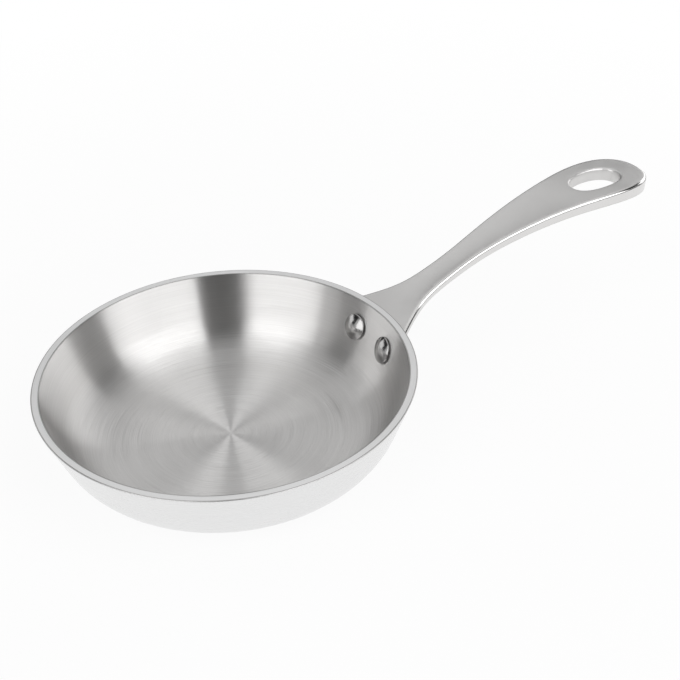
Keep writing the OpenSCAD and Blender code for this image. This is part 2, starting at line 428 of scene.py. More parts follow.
def blend(tree, share, first, second):
    # sockets 6 and 7 of the Mix node are its two colours, and output 2 is their blend
    node = add_node(tree, "ShaderNodeMix", {0: share, 6: first, 7: second}, data_type="RGBA")
    return node.outputs[2]


# %% [markdown]
# A scratch that is part of a circle mirrors sharply along itself and scatters light widely across itself.
# That draws each lamp out into a fan on the floor of the pan and into a bright field on its wall. An
# anisotropic shader gives the sharp and the wide side. The grain also tilts the surface a little from
# scratch to scratch. A bump map would need texture finer than a pixel for that, so the normal is leant
# directly.

# %% Helpers for brushing in circles
def combine_vectors(tree, operation, *values, **inputs):
    given = {**dict(enumerate(values)), **inputs}
    node = add_node(tree, "ShaderNodeVectorMath", given, operation=operation)
    return node.outputs["Value" if operation in ("LENGTH", "DOT_PRODUCT") else "Vector"]


def circle_tangent(tree):
    return add_node(tree, "ShaderNodeTangent", direction_type="RADIAL", axis="Z").outputs[0]


def leaning_normal(tree, noise, strength):
    lean = calculate(tree, "MULTIPLY", calculate(tree, "SUBTRACT", noise, 0.5), strength)
    normal = tree.nodes.new("ShaderNodeNewGeometry").outputs["Normal"]
    across = combine_vectors(tree, "CROSS_PRODUCT", normal, circle_tangent(tree))
    leaning = combine_vectors(tree, "SCALE", across, Scale=lean)
    return combine_vectors(tree, "NORMALIZE", combine_vectors(tree, "ADD", normal, leaning))


# %% [markdown]
# The cooking face has the strongest brushing. A Principled shader stretches a highlight at most ten times
# as long as wide, and the real fans are longer, so this steel takes the plain glossy shader, which has no
# such limit. The floor is brushed more coarsely than the wall, and streaks of slightly duller and brighter
# steel lie over both. The skin's sawn edge at the rim is darker. It shows as a thin line beside the
# aluminium, and the height above the table tells the shader where it is.

# %% Steel brushed in circles
DULL_STREAK, BRIGHT_STREAK, CUT_STEEL = tone(0.69), tone(0.78), tone(0.5)
CUT_DEPTH = 0.35 * MM
STREAKS, DULL_PATCHES, SCRATCHES = (6000, 1), (2500, 1), (8000, 2)
STREAK_MARGIN = 0.2
BRUSHED_ROUGHNESS = (0.28, 0.35)
BRUSHED_STRETCH = 0.75
ROUGH_BRUSHING, FINE_BRUSHING = 1.25, 0.45
ROUGH_BELOW, FINE_ABOVE = 0.1 * PAN_H, 0.5 * PAN_H


def cut_edge(tree):
    return ramp_between(tree, height_above_table(tree), PAN_H - CUT_DEPTH, PAN_H, 0, 1,
                        interpolation_type="SMOOTHSTEP")


def brushed_steel():
    material, tree, surface = empty_material("steel brushed in circles")
    streaks = vary(tree, circle_grain(tree, *STREAKS), 0, 1, STREAK_MARGIN)
    steel = blend(tree, streaks, DULL_STREAK, BRIGHT_STREAK)
    brushing = ramp_between(
        tree, height_above_table(tree), ROUGH_BELOW, FINE_ABOVE, ROUGH_BRUSHING, FINE_BRUSHING)
    gloss = add_node(tree, "ShaderNodeBsdfAnisotropic", {
        "Color": blend(tree, cut_edge(tree), steel, CUT_STEEL),
        "Roughness": vary(tree, circle_grain(tree, *DULL_PATCHES), *BRUSHED_ROUGHNESS, STREAK_MARGIN),
        "Anisotropy": BRUSHED_STRETCH, "Rotation": 0, "Tangent": circle_tangent(tree),
        "Normal": leaning_normal(tree, circle_grain(tree, *SCRATCHES), brushing)})
    connect(tree, gloss.outputs[0], surface)
    return material


cooking_steel = brushed_steel()
print("made", cooking_steel.name)

# %% [markdown]
# The outer skin was only turned bright, so it mirrors the white table with a soft, faint grain round the
# pan. Its highlights are short, and the Principled shader's own anisotropy is enough for them. Its edge at
# the rim is sawn like the inner one.

# %% Bright steel outside
OUTSIDE_STEEL = tone(0.8, 0)
TURNED_MARKS, TURNED_PATCHES = (6000, 2), (3000, 2)
TURNED_ROUGHNESS = (0.2, 0.3)
TURNED_STRETCH, TURNED_LEAN = 0.6, 0.1
ROUGHER_CUT = 0.2
ALONG_CIRCLES = 0.25


def in_circles(tree, stretch, marks, lean):
    return {"Tangent": circle_tangent(tree), "Anisotropic": stretch, "Anisotropic Rotation": ALONG_CIRCLES,
            "Normal": leaning_normal(tree, circle_grain(tree, *marks), lean)}


def turned_steel():
    material, tree, shader = new_metal("bright turned steel")
    edge = cut_edge(tree)
    turned = vary(tree, circle_grain(tree, *TURNED_PATCHES), *TURNED_ROUGHNESS)
    fill_inputs(tree, shader, {
        **in_circles(tree, TURNED_STRETCH, TURNED_MARKS, TURNED_LEAN),
        "Base Color": blend(tree, edge, OUTSIDE_STEEL, CUT_STEEL),
        "Roughness": calculate(tree, "ADD", turned, calculate(tree, "MULTIPLY", edge, ROUGHER_CUT))})
    return material


outer_steel = turned_steel()
print("made", outer_steel.name)

# %% [markdown]
# The middle layer is bare aluminium and shows only as the flat, pale band of the rim. The saw and a file
# left fine marks that follow the rim, so the band gets the brushing in circles too, only duller and without
# sharp fans.

# %% Aluminium of the middle layer
ALUMINIUM = tone(0.915, 0)
FILED_MARKS, FILED_PATCHES = (6000, 4), (4000, 4)
FILED_ROUGHNESS = (0.35, 0.5)
FILED_STRETCH, FILED_LEAN = 0.5, 0.3


def filed_aluminium():
    material, tree, shader = new_metal("filed aluminium")
    fill_inputs(tree, shader, {
        **in_circles(tree, FILED_STRETCH, FILED_MARKS, FILED_LEAN), "Base Color": ALUMINIUM,
        "Roughness": vary(tree, circle_grain(tree, *FILED_PATCHES), *FILED_ROUGHNESS)})
    return material


core_metal = filed_aluminium()
print("made", core_metal.name)

# %% [markdown]
# The handle's casting was ground smooth and blasted to an even satin, and only its side with the round
# upper edge was polished. The satin is a fine grain with slightly duller and brighter patches. One material
# could blend the two, but the real border is sharp, so the polish is a second material on the faces it
# covers.

# %% Satin and polished steel
SATIN, POLISHED = tone(0.69), tone(0.72)
SATIN_PATCHES, BLASTING, HAZE = 150, 4000, 600
SATIN_ROUGHNESS, POLISHED_ROUGHNESS = (0.37, 0.46), (0.09, 0.18)
BLASTING_STRENGTH, BLASTING_DEPTH = 0.4, 0.02 * MM


def relief(tree, height, strength, depth):
    node = add_node(tree, "ShaderNodeBump", {"Height": height, "Strength": strength, "Distance": depth})
    return node.outputs[0]


def satin_cast_steel():
    material, tree, shader = new_metal("satin cast steel")
    fill_inputs(tree, shader, {
        "Base Color": SATIN, "Roughness": vary(tree, even_grain(tree, SATIN_PATCHES), *SATIN_ROUGHNESS),
        "Normal": relief(tree, even_grain(tree, BLASTING), BLASTING_STRENGTH, BLASTING_DEPTH)})
    return material


def polished_cast_steel():
    material, tree, shader = new_metal("polished cast steel")
    fill_inputs(tree, shader, {
        "Base Color": POLISHED, "Roughness": vary(tree, even_grain(tree, HAZE), *POLISHED_ROUGHNESS)})
    return material


satin_steel = satin_cast_steel()
polished_edge = polished_cast_steel()
print("made", satin_steel.name, "and", polished_edge.name)

# %% [markdown]
# The rivets' heads were formed under a polished die, so they mirror the lamps and the wall. Wiping has left
# a haze of fine scratches, which a small noise in the roughness and a very shallow bump stand for. A dark
# ring of painted shade lies in the crease where a head meets the cooking face, where the head shades the
# wall. The ring could be painted on the mesh, but the wall is a cone, so one formula gives the height above
# it. The closed heads outside have no such ring.

# %% Polished steel of the rivets
# painted shade: the dark colour in the crease round each inner head, and the heights above the wall over
# which it fades out
RIVET_STEEL, CREASE_SHADE = tone(0.42), tone(0.12)
CREASE_SHADE_FROM, CREASE_SHADE_TO = 0.25 * MM, 0.7 * MM
WIPING = 1500
WIPED_ROUGHNESS = (0.15, 0.2)
WIPING_STRENGTH, WIPING_DEPTH = 0.3, 0.01 * MM


def height_on_wall(tree):
    x, y, z = axes_of(tree, own_place(tree))
    narrower = calculate(tree, "MULTIPLY", calculate(tree, "SUBTRACT", PAN_H, z), math.tan(WALL_LEAN))
    wall = calculate(tree, "SUBTRACT", RIM_R - WALL_T / math.cos(WALL_LEAN), narrower)
    inwards = calculate(tree, "SUBTRACT", wall, from_axis(tree, x, y))
    return calculate(tree, "MULTIPLY", inwards, math.cos(WALL_LEAN))


def rivet_steel_with_painted_shade():
    material, tree, shader = new_metal("wiped rivet steel with painted crease shade")
    scratches = even_grain(tree, WIPING)
    # painted shade: the head's colour darkens towards the crease where it meets the cooking face, and the
    # closed heads stay clear
    above_wall = height_on_wall(tree)
    outside = calculate(tree, "LESS_THAN", above_wall, -WALL_T)
    unshaded = calculate(tree, "MAXIMUM", outside, ramp_between(
        tree, above_wall, CREASE_SHADE_FROM, CREASE_SHADE_TO, 0, 1))
    fill_inputs(tree, shader, {
        "Base Color": blend(tree, unshaded, CREASE_SHADE, RIVET_STEEL),
        "Roughness": vary(tree, scratches, *WIPED_ROUGHNESS),
        "Normal": relief(tree, scratches, WIPING_STRENGTH, WIPING_DEPTH)})
    return material


rivet_steel = rivet_steel_with_painted_shade()
print("made", rivet_steel.name)

# %% [markdown]
# Each of the three bonded layers is turned from its own profile: out along the base, up the wall, over the
# rim, and back inside. Only the cut edge at the rim shows that there are three, and a small arc breaks the
# outer corner of each steel skin there. One shell with painted bands could stand for them, but solids of
# their own give true edges.

# %% Profiles of the layers
CORNER_STEPS = 48
EDGE_STEPS = 6
FINE_STEP = 0.8 * MM
STEPS_ROUND = 360
ROUND_SHARE = 0.9


def wall_x(depth, z):
    return RIM_R - depth / math.cos(WALL_LEAN) - (PAN_H - z) * math.tan(WALL_LEAN)


def base_path(depth):
    corner = arc((CORNER_X, CORNER_R), CORNER_R - depth, -QUARTER, -WALL_LEAN, CORNER_STEPS)
    return [(0, depth)] + corner


def half_edge(side):
    return math.tan((QUARTER - side * WALL_LEAN) / 2)


def rim_path(depth, side, thick):
    if thick == 0:
        return [(wall_x(depth, PAN_H), PAN_H)]
    radius = min(RIM_EDGE_R, ROUND_SHARE * thick / math.cos(WALL_LEAN) * half_edge(side))
    centre = (wall_x(depth, PAN_H) - side * radius / half_edge(side), PAN_H - radius)
    start = -WALL_LEAN if side > 0 else math.pi - WALL_LEAN
    return arc(centre, radius, start, QUARTER, EDGE_STEPS)


def layer_path(depth, thick, outer_thick, inner_thick):
    up = base_path(depth) + rim_path(depth, 1, outer_thick)
    down = base_path(depth + thick) + rim_path(depth + thick, -1, inner_thick)
    return finely(up + down[::-1], FINE_STEP)


print("points in the profile of the core:", len(layer_path(OUTER_SKIN_T, CORE_T, 0, 0)))

# %% [markdown]
# Both rivets stand square to the leaning wall. One matrix says where, and everything that belongs to a
# rivet uses it. A bore could be left out of a mesh by hand, but a boolean keeps it round where the wall
# curves: a plain cylinder is taken away from the wall's layers and later from the handle. It wears the
# handle's metal, so that the handle gains no empty slot.

# %% Cut the bores
OVERSHOOT = 5 * MM
BORE_STEPS = 64


def on_wall(side):
    out_of_wall = Matrix.Rotation(QUARTER + WALL_LEAN, 4, "Y")
    return (Matrix.Rotation(side * RIVET_TURN, 4, "Z")
            @ Matrix.Translation((RIVET_WALL_R, 0, RIVET_Z)) @ out_of_wall)


def bore_tool(side):
    shape = bmesh.new()
    radius = RIVET_D / 2 + RIVET_PLAY
    bmesh.ops.create_cone(
        shape, cap_ends=True, segments=BORE_STEPS, radius1=radius, radius2=radius,
        depth=2 * (WALL_T + FLANGE_T + OVERSHOOT), matrix=on_wall(side))
    return object_from(shape, "bore", satin_steel)


def cut_bores(piece):
    for side in (-1, 1):
        combine(piece, bore_tool(side), "DIFFERENCE")


# %% Make the layers
def make_layer(name, depth, thick, outer_thick, inner_thick, metal):
    layer = turned_piece(name, layer_path(depth, thick, outer_thick, inner_thick), STEPS_ROUND, metal)
    cut_bores(layer)
    wear_only(layer, metal)
    smooth(layer.data)
    print(name, "has", len(layer.data.polygons), "faces")
    return layer


inner_skin = make_layer("inner_skin", OUTER_SKIN_T + CORE_T, INNER_SKIN_T, 0, INNER_SKIN_T, cooking_steel)
core = make_layer("core", OUTER_SKIN_T, CORE_T, 0, 0, core_metal)
outer_skin = make_layer("outer_skin", 0, OUTER_SKIN_T, OUTER_SKIN_T, 0, outer_steel)

# %% [markdown]
# The handle is a plate with round edges that was bent along its length. It is easiest to make flat, as a
# blank, and to bend afterwards. The outline could be drawn by hand, but here it is a formula of s, the
# place along the handle. The stem widens by a flare towards the pan and by a swell towards the end, each a
# straight taper with a soft start, and a superellipse closes the tip. Inside the pan's wall, where nobody
# sees it, the outline just ends in a round cap.

# %% Outline of the handle
OUTLINE_STEPS = 230
TIP_STEPS = 60
ROOT_STEPS = 30
ROOT_CAP = 8 * MM


def taper(x):
    return (x + math.hypot(x, EDGE_BLEND)) / 2


def side_at(s):
    flare = math.tan(FLARE_ANGLE) * taper(RIM_R + FLARE_L - s)
    return STEM_W / 2 + flare + math.tan(SWELL_ANGLE) * taper(s - RIM_R - SWELL_START)


def half_width(s):
    into_tip = min(1, max(0, s - TIP_START_S) / TIP_L)
    return side_at(s) * (1 - into_tip ** TIP_FULLNESS) ** (1 / TIP_FULLNESS)


def half_outline():
    points = []
    for i in range(1, ROOT_STEPS):
        angle = QUARTER * i / ROOT_STEPS
        points.append((ROOT_S - ROOT_CAP * math.cos(angle), half_width(ROOT_S) * math.sin(angle)))
    for i in range(OUTLINE_STEPS):
        s = ROOT_S + (TIP_START_S - ROOT_S) * i / OUTLINE_STEPS
        points.append((s, half_width(s)))
    for i in range(TIP_STEPS + 1):
        angle = QUARTER * i / TIP_STEPS
        s = TIP_START_S + TIP_L * math.sin(angle) ** (2 / TIP_FULLNESS)
        points.append((s, side_at(s) * max(0, math.cos(angle)) ** (2 / TIP_FULLNESS)))
    return points


def handle_outline():
    left = half_outline()
    right = [(s, -y) for s, y in left[:-1]]
    return [Vector(point) for point in [(ROOT_S - ROOT_CAP, 0)] + right + left[::-1]]


print("handle outline:", len(handle_outline()), "points")

# %% Outline of the hanging hole
HOLE_POINTS = 120


def hole_outline(grow):
    power = 2 / HOLE_FULLNESS
    points = []
    for i in range(HOLE_POINTS):
        angle = math.tau * i / HOLE_POINTS
        along = math.copysign(abs(math.cos(angle)) ** power, math.cos(angle))
        aside = math.copysign(abs(math.sin(angle)) ** power, math.sin(angle))
        points.append(Vector((HOLE_S + (HOLE_L / 2 + grow) * along, (HOLE_W / 2 + grow) * aside)))
    return points


print("the hole's middle is", round(HOLE_S / MM, 1), "mm from the middle of the pan")

# %% [markdown]
# A side of the blank is a stack of rings. Each ring is the outline moved in by some distance, at a depth
# that is a share of the plate's thickness plus an offset. Equal steps of angle make the edges round. A
# Bevel modifier could round them too, but rings keep to the CAD model's exact shape.

# %% Rings of a side
ROUND_STEPS = 10


def edge_levels(top_r, under_r):
    levels = []
    for i in range(ROUND_STEPS + 1):
        angle = QUARTER * i / ROUND_STEPS
        levels.append((top_r * (1 - math.sin(angle)), 0, top_r * (1 - math.cos(angle))))
    levels.append((0, 0.5, 0))
    for i in range(ROUND_STEPS + 1):
        angle = QUARTER * i / ROUND_STEPS
        levels.append((under_r * (1 - math.cos(angle)), 1, under_r * (math.sin(angle) - 1)))
    return levels


def sharp_below(top_r):
    return edge_levels(top_r, 0)[:-ROUND_STEPS]


def inset(outline):
    along = [outline[(i + 1) % len(outline)] - outline[i - 1] for i in range(len(outline))]
    inwards = [Vector((-v.y, v.x)).normalized() for v in along]
    return lambda distance: [point + n * distance for point, n in zip(outline, inwards)]


def side_rings(ring_at, levels, thick_at):
    return [[(x, y, -share * thick_at(x) - offset) for x, y in ring_at(distance)]
            for distance, share, offset in levels]


# %% [markdown]
# The two flat faces are filled by triangles between the outline, the hole and a net of inner points. A
# plain fill would make long thin triangles, and the dished face would show them. A Delaunay fill of an even
# net keeps them short.

# %% Fill a flat face
NET_MARGIN = 0.6
SAME_POINT = 1e-9


def is_inside(points, loops):
    inside = np.zeros(len(points), bool)
    x, y = points[:, :1], points[:, 1:]
    for loop in loops:
        start, end = loop, np.roll(loop, -1, axis=0)
        crosses = (start[:, 1] > y) != (end[:, 1] > y)
        height = np.where(end[:, 1] == start[:, 1], 1, end[:, 1] - start[:, 1])
        at = start[:, 0] + (end[:, 0] - start[:, 0]) * (y - start[:, 1]) / height
        inside ^= (crosses & (x < at)).sum(axis=1) % 2 == 1
    return inside


def inner_net(loops, spacing):
    edge = np.concatenate(loops)
    low, high = edge.min(axis=0), edge.max(axis=0)
    columns = np.arange(low[0], high[0], spacing)
    rows = np.arange(low[1], high[1], spacing * math.sqrt(3) / 2)
    net = np.array([(x + (i % 2) * spacing / 2, y) for i, y in enumerate(rows) for x in columns])
    net = net[is_inside(net, loops)]
    nearest = np.array([np.hypot(*(edge - point).T).min() for point in net])
    return net[nearest > NET_MARGIN * spacing]


def triangles_between(loops, spacing):
    net = inner_net(loops, spacing)
    points = [Vector(point) for loop in (*loops, net) for point in loop]
    edges, first = [], 0
    for loop in loops:
        edges += [(first + i, first + (i + 1) % len(loop)) for i in range(len(loop))]
        first += len(loop)
    found, _, corners, origin = delaunay_2d_cdt(points, edges, [], 0, SAME_POINT)[:4]
    middles = np.array([[sum(found[i][k] for i in face) / 3 for k in (0, 1)] for face in corners])
    keep = is_inside(middles, loops)
    return net, [[origin[i][0] for i in face] for face, good in zip(corners, keep) if good]


# %% Build a blank
PLAIN, SHINY = 0, 1


def ribbon(upper, lower):
    count = len(upper)
    return [(upper[i], upper[(i + 1) % count], lower[(i + 1) % count], lower[i]) for i in range(count)]


def number_rings(side, vertices):
    rings = []
    for ring in side:
        rings.append(list(range(len(vertices), len(vertices) + len(ring))))
        vertices.extend(ring)
    return rings


def fill_end(rings, vertices, depth_at, spacing):
    loops = [np.array([vertices[i][:2] for i in ring]) for ring in rings]
    net, triangles = triangles_between(loops, spacing)
    border = [i for ring in rings for i in ring] + list(range(len(vertices), len(vertices) + len(net)))
    vertices.extend((x, y, -depth_at(x, y)) for x, y in net)
    return [[border[i] for i in face] for face in triangles]


def build_blank(name, sides, shiny_levels, top_depth, under_depth, spacing):
    vertices, faces, zones = [], [], []
    numbered = [number_rings(side, vertices) for side in sides]
    for rings, shiny in zip(numbered, shiny_levels):
        for level, (upper, lower) in enumerate(zip(rings, rings[1:])):
            faces += ribbon(upper, lower)
            zones += [SHINY if level in shiny else PLAIN] * len(upper)
    for end, depth_at in ((0, top_depth), (-1, under_depth)):
        faces += fill_end([rings[end] for rings in numbered], vertices, depth_at, spacing)
    zones += [PLAIN] * (len(faces) - len(zones))
    mesh = bpy.data.meshes.new(name)
    mesh.from_pydata(vertices, [], faces)
    mesh.materials.append(satin_steel)
    mesh.materials.append(polished_edge)
    mesh.polygons.foreach_set("material_index", zones)
    point_outwards(mesh)
    return new_object(name, mesh)


# %% The blank of the handle
HANDLE_NET = 1.2 * MM
EDGE_AND_SIDE = range(ROUND_STEPS + 2)


def thick_at(s):
    return ROOT_T + (TIP_T - ROOT_T) * (s - RIM_R) / REACH


def dish_at(s, y):
    share = max(0, min(1, (s - RIM_R) / DISH_FADE, (HOLE_S - HOLE_L / 2 - s) / DISH_FADE))
    across = y / max(half_width(s) - TOP_EDGE_R, TOP_EDGE_R)
    return DISH * share * share * (3 - 2 * share) * max(0, 1 - across * across)


handle_sides = [
    side_rings(inset(handle_outline()), edge_levels(TOP_EDGE_R, UNDER_EDGE_R), thick_at),
    side_rings(hole_outline, sharp_below(HOLE_EDGE_R), thick_at)]
handle = build_blank(
    "handle_casting", handle_sides, [EDGE_AND_SIDE, ()],
    dish_at, lambda s, y: thick_at(s), HANDLE_NET)
print("faces of the blank:", len(handle.data.polygons))

# %% [markdown]
# The blank rises from the rim in a straight line and then bends over in one arc. A tree does it by formula:
# the place along the handle gives the slope, and a point below the face moves square to that slope. A
# lattice or a curve modifier could bend it too, but would not keep the exact height of the CAD model. The
# zone of each face is its material's number, by which the tree sets the polished metal last.

# %% The bending tree
def bent_height(tree, given, station, cosine):
    before = calculate(tree, "SUBTRACT", calculate(tree, "MINIMUM", station, given["Bend start"]),
                       given["Rim radius"])
    straight = calculate(tree, "MULTIPLY", calculate(tree, "TANGENT", given["Rise"]), before)
    turned = calculate(tree, "SUBTRACT", cosine, calculate(tree, "COSINE", given["Rise"]))
    bent = calculate(tree, "MULTIPLY", given["Bend radius"], turned)
    return calculate(tree, "ADD", calculate(tree, "ADD", given["Root height"], straight), bent)


def build_bending_tree():
    tree, given, result = new_geometry_tree("bend over the path", {
        "Rim radius": "NodeSocketFloat", "Root height": "NodeSocketFloat", "Rise": "NodeSocketFloat",
        "Bend start": "NodeSocketFloat", "Bend radius": "NodeSocketFloat",
        "Edge metal": "NodeSocketMaterial"})
    station, aside, lift = axes_of(tree, own_position(tree))
    beyond = calculate(tree, "MAXIMUM", calculate(tree, "SUBTRACT", station, given["Bend start"]), 0)
    share = calculate(tree, "DIVIDE", beyond, given["Bend radius"])
    sine = calculate(tree, "SUBTRACT", calculate(tree, "SINE", given["Rise"]), share)
    cosine = calculate(tree, "SQRT", calculate(tree, "SUBTRACT", 1, calculate(tree, "MULTIPLY", sine, sine)))
    height = bent_height(tree, given, station, cosine)
    x = calculate(tree, "SUBTRACT", station, calculate(tree, "MULTIPLY", lift, sine))
    z = calculate(tree, "ADD", height, calculate(tree, "MULTIPLY", lift, cosine))
    moved = add_node(tree, "GeometryNodeSetPosition", {
        "Geometry": given["Geometry"], "Position": point_at(tree, x, aside, z)})
    shiny = tree.nodes.new("GeometryNodeInputMaterialIndex").outputs[0]
    return finish_tree(tree, moved.outputs[0], result, given["Edge metal"], shiny)


run_tree(handle, build_bending_tree(), {
    "Rim radius": RIM_R, "Root height": PAN_H - ROOT_DROP, "Rise": RISE,
    "Bend start": BEND_S, "Bend radius": BEND_R, "Edge metal": polished_edge})
print("top of the handle:", round(max(v.co.z for v in handle.data.vertices) / MM, 2), "mm")

# %% [markdown]
# Under the root the casting lies on the wall as a flange that both rivets pass through, and a web fills the
# corner. The photograph hides them, so they are plain. The flange is a blank too, wrapped round the wall.
# The web is an outline drawn out sideways: a corner closed by an arc that touches the flange and the stem.

# %% The flange
FLANGE_EDGE_R = 0.6 * MM
FLANGE_NET = 1.5 * MM
FLANGE_STEPS = 40
INTO_WALL = 0.5 * MM


def outside_r(z, out):
    if z >= CORNER_R - (CORNER_R + out) * math.sin(WALL_LEAN):
        return wall_x(-out, z)
    return CORNER_X + math.sqrt((CORNER_R + out) ** 2 - (CORNER_R - z) ** 2)


def flange_outline():
    right = arc((RIVET_PITCH / 2, RIVET_Z), FLANGE_MARGIN, -QUARTER, QUARTER, FLANGE_STEPS)
    left = arc((-RIVET_PITCH / 2, RIVET_Z), FLANGE_MARGIN, QUARTER, 3 * QUARTER, FLANGE_STEPS)
    closed = finely(right + left + right[:1], FINE_STEP)
    return [Vector(point) for point in closed[:-1]]


def flange_depth(*_):
    return FLANGE_T + INTO_WALL


def wrap_round_wall(piece):
    for vertex in piece.data.vertices:
        aside, height, lift = vertex.co
        radius = outside_r(height, FLANGE_T + lift)
        vertex.co = (math.sqrt(radius ** 2 - aside ** 2), aside, height)
    point_outwards(piece.data)


flange = build_blank(
    "flange", [side_rings(inset(flange_outline()), sharp_below(FLANGE_EDGE_R), flange_depth)],
    [()], lambda *_: 0, flange_depth, FLANGE_NET)
wrap_round_wall(flange)
print("lowest point of the flange:", round(min(v.co.z for v in flange.data.vertices) / MM, 2), "mm")

# %% The web
WEB_SINK = 0.2 * MM
WEB_STEPS = 30


def web_outline():
    down = Vector((-math.sin(WALL_LEAN), -math.cos(WALL_LEAN)))
    along = Vector((math.cos(RISE), math.sin(RISE)))
    on_flange = Vector((RIM_R + (FLANGE_T - WEB_SINK) / math.cos(WALL_LEAN), PAN_H))
    depth = ROOT_T - WEB_SINK
    on_stem = Vector((RIM_R + depth * math.sin(RISE), PAN_H - ROOT_DROP - depth * math.cos(RISE)))
    corner = on_flange + down * ((on_stem - on_flange).cross(along) / down.cross(along))
    half_open = (QUARTER + WALL_LEAN + RISE) / 2
    centre = corner + (down + along).normalized() * (WEB_R / math.sin(half_open))
    run = WEB_R / math.tan(half_open)
    start, end = corner + down * run - centre, corner + along * run - centre
    first, last = (math.atan2(v.y, v.x) % math.tau for v in (start, end))
    return [tuple(corner)] + arc(centre, WEB_R, first, last, WEB_STEPS)


def make_web():
    shape = bmesh.new()
    side = shape.faces.new([shape.verts.new((x, -WEB_T / 2, z)) for x, z in web_outline()])
    moved = bmesh.ops.extrude_face_region(shape, geom=[side])["geom"]
    far_side = [part for part in moved if isinstance(part, bmesh.types.BMVert)]
    bmesh.ops.translate(shape, vec=(0, WEB_T, 0), verts=far_side)
    bmesh.ops.recalc_face_normals(shape, faces=shape.faces)
    return object_from(shape, "web", satin_steel)


print("corners of the web's side:", len(web_outline()))

# %% [markdown]
# The three solids could just overlap, but the real handle is one casting, so they become one closed skin.
# Then the pan, filled up to a solid, is cut away from it, so that the casting ends exactly on the wall. The
# same solid, moved in or out, later trims the rivet heads.

# %% Filled pan and the finished casting
def filled_pan(depth):
    top = PAN_H + OVERSHOOT
    path = base_path(depth) + [(wall_x(depth, top), top), (0, top)]
    return turned_piece("filled pan", path, STEPS_ROUND, satin_steel)


combine(handle, flange, "UNION")
combine(handle, make_web(), "UNION")
combine(handle, filled_pan(0), "DIFFERENCE")
cut_bores(handle)
smooth(handle.data)
print("faces of the casting:", len(handle.data.polygons))

# %% [markdown]
# A rivet has a button head inside the pan, a shank through the three layers and the flange, and a closed
# head outside. Each head is turned with a stem that reaches below its seat, and the curved wall trims it.
# The crown is part of a ball and runs smoothly into the round edge, because a polished head shows every
# crease.

# %% Profile of a head
CROWN_STEPS = 24
RIVET_STEPS = 96
HEAD_STEM = 2.5 * MM


def button_path(width, height, crown):
    edge = min(HEAD_EDGE_R, (height - crown) / 2)
    crown_r = (width * width / 4 + crown * crown) / (2 * crown)
    crown_z = height - crown_r
    edge_x = width / 2 - edge
    edge_z = crown_z + math.sqrt((crown_r - edge) ** 2 - edge_x ** 2)
    meets = math.atan2(edge_z - crown_z, edge_x)
    top = arc((0, crown_z), crown_r, QUARTER, meets, CROWN_STEPS)
    side = arc((edge_x, edge_z), edge, meets, 0, ROUND_STEPS)
    return [(0, height)] + top[1:] + side[1:] + [(width / 2, -HEAD_STEM), (0, -HEAD_STEM)]


print("points in the profile of a head:", len(button_path(HEAD_D, HEAD_H, HEAD_CROWN)))

# %% Make the rivets
SHANK_SINK = 0.2 * MM


def turned_at(matrix, name, path):
    piece = turned_piece(name, path, RIVET_STEPS, rivet_steel)
    piece.data.transform(matrix)
    return piece


def make_rivet(name, side):
    outwards = on_wall(side)
    inwards = outwards @ Matrix.Translation((0, 0, -WALL_T)) @ Matrix.Rotation(math.pi, 4, "X")
    seat = outwards @ Matrix.Translation((0, 0, FLANGE_T))
    low, high = -WALL_T - SHANK_SINK, FLANGE_T + SHANK_SINK
    rivet = turned_at(outwards, name, [(0, low), (RIVET_D / 2, low), (RIVET_D / 2, high), (0, high)])
    head = turned_at(inwards, "head", button_path(HEAD_D, HEAD_H, HEAD_CROWN))
    closed = turned_at(seat, "closed", button_path(CLOSED_D, CLOSED_H, CLOSED_CROWN))
    combine(head, filled_pan(WALL_T), "INTERSECT")
    combine(closed, filled_pan(-FLANGE_T), "DIFFERENCE")
    combine(rivet, head, "UNION")
    combine(rivet, closed, "UNION")
    wear_only(rivet, rivet_steel)
    smooth(rivet.data)
    print(name, "has", len(rivet.data.polygons), "faces")
    return rivet


rivet_left = make_rivet("rivet_left_steel", 1)
rivet_right = make_rivet("rivet_right_steel", -1)

# %% [markdown]
# Each piece replaces its CAD node, which is hidden but stays in the scene, and rides on the one body.
# The hidden CAD nodes stay for collision.

# %% Tie the pieces to the frame
finished = {
    "inner_steel_skin": (inner_skin, "cooking_steel"),
    "aluminium_core": (core, "core_aluminium"),
    "outer_steel_skin": (outer_skin, "outer_steel"),
    "handle": (handle, "cast_steel"),
    "rivet_left": (rivet_left, "rivet_steel"),
    "rivet_right": (rivet_right, "rivet_steel"),
}
for node, (piece, slot) in finished.items():
    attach(piece, "root")
    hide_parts(node)
    print(node, "is shown by", piece.name, "with", len(piece.data.polygons), "faces")

# %% [markdown]
# The floor is a round white table. Where the camera or a reflection sees it, it glows with the strength of
# white, and a share of plain diffuse white near the pan keeps its soft shadow. The table ends not far from
# the pan, so that low reflections see the darker room beyond: that draws the thin dark line along each
# edge.

# %% Floor
TABLE_R = 350 * MM
TABLE_FADE_R = 120 * MM
TABLE_STEPS = 128
TABLE_GLOW = 0.9
TABLE_WHITE = tone(0.9, 0)


def seen_directly(tree):
    path = tree.nodes.new("ShaderNodeLightPath").outputs
    seen = calculate(tree, "MAXIMUM", path["Is Camera Ray"], path["Is Glossy Ray"])
    return calculate(tree, "MAXIMUM", seen, path["Is Transmission Ray"])


